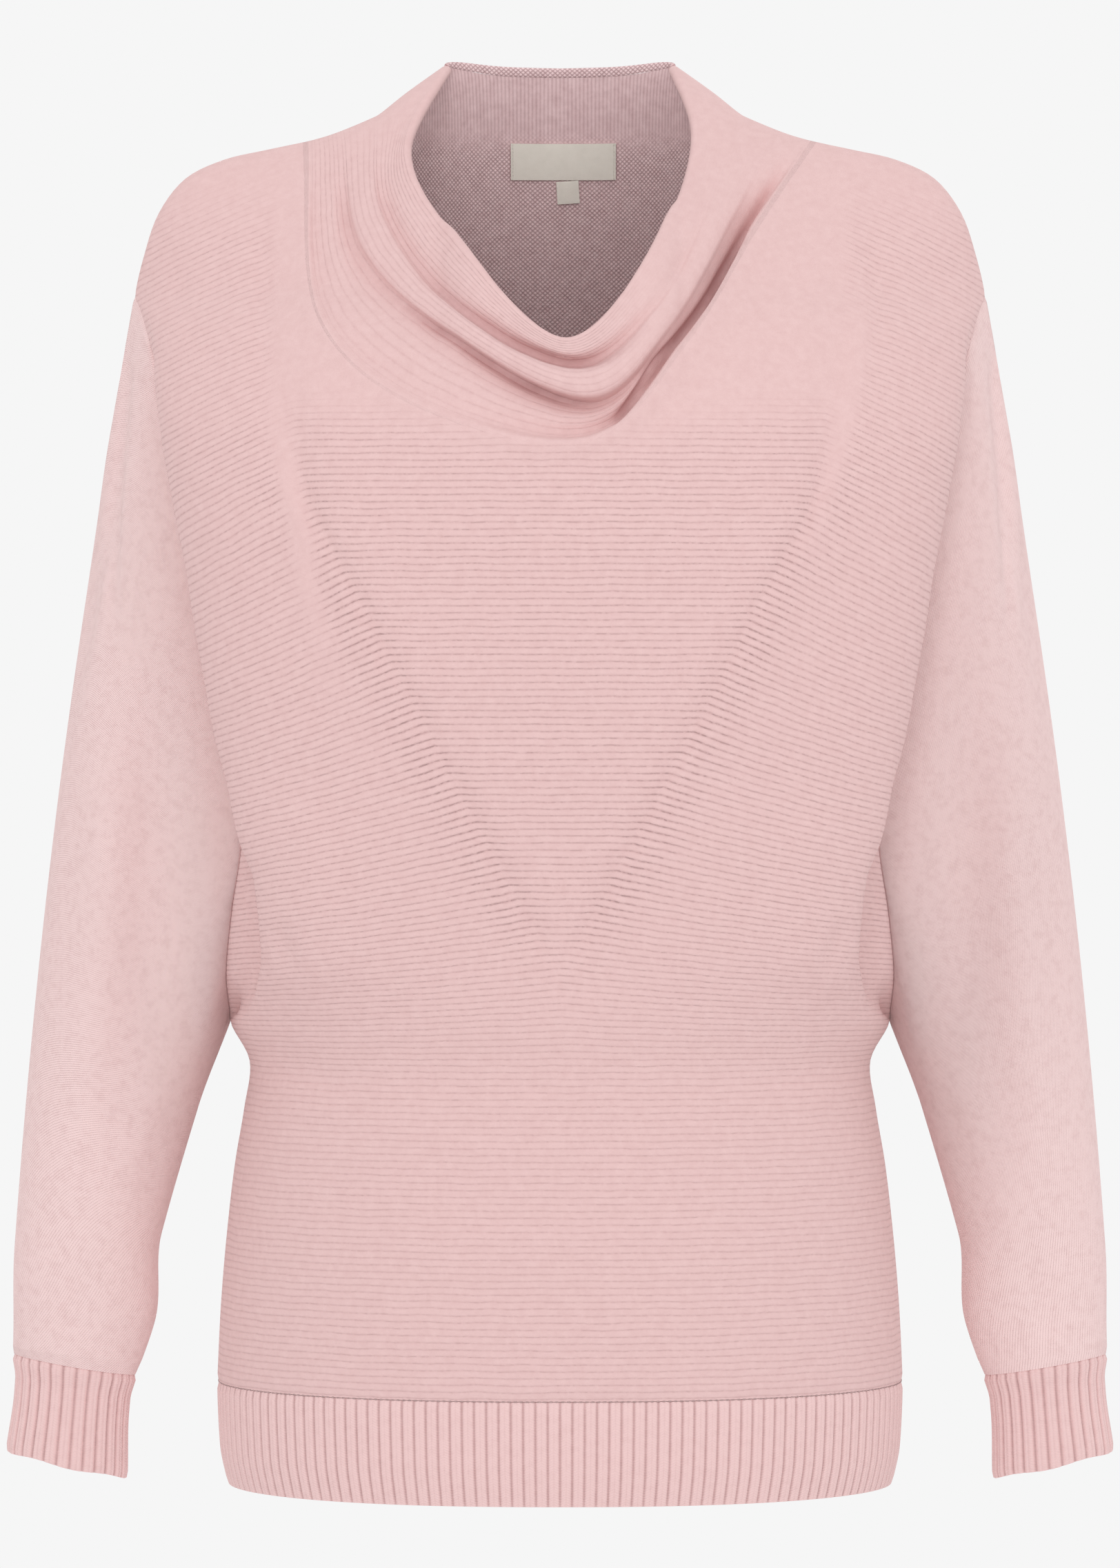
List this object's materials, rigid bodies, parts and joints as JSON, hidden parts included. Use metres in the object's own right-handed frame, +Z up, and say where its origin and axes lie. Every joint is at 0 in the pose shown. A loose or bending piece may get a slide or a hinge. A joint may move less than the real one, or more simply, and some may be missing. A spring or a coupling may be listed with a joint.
{
  "type": "cowl neck sweater",
  "caption": "Fine-knit sweater with a draped cowl neck, deep-set long sleeves, ribbed cuffs and a ribbed hem band, filled out as worn and open at neck, hem and cuffs.",
  "frame": {"origin": "on the centre line between the shoulders, level with them, where the wearer holds the sweater up", "axes": "+Z up, -Y to the front of the sweater, +X to the right of someone who looks at its front"},
  "size_m": [0.5628, 0.241, 0.7274],
  "materials": {
    "ripple_knit": "pale pink ripple knit with a soft brushed surface",
    "plain_knit": "pale pink fine plain knit, soft and lightly brushed",
    "rib_knit": "pale pink rib knit",
    "label_tape": "cream woven tape, bare"
  },
  "bodies": {
    "root": {"front": "ripple_knit", "back": "ripple_knit", "back_neck_band": "rib_knit", "sleeve_left": "plain_knit", "sleeve_right": "plain_knit", "cuff_left": "rib_knit", "cuff_right": "rib_knit", "hem_rib_front": "rib_knit", "hem_rib_back": "rib_knit", "neck_label": "label_tape", "size_tab": "label_tape"}
  },
  "joints": []
}
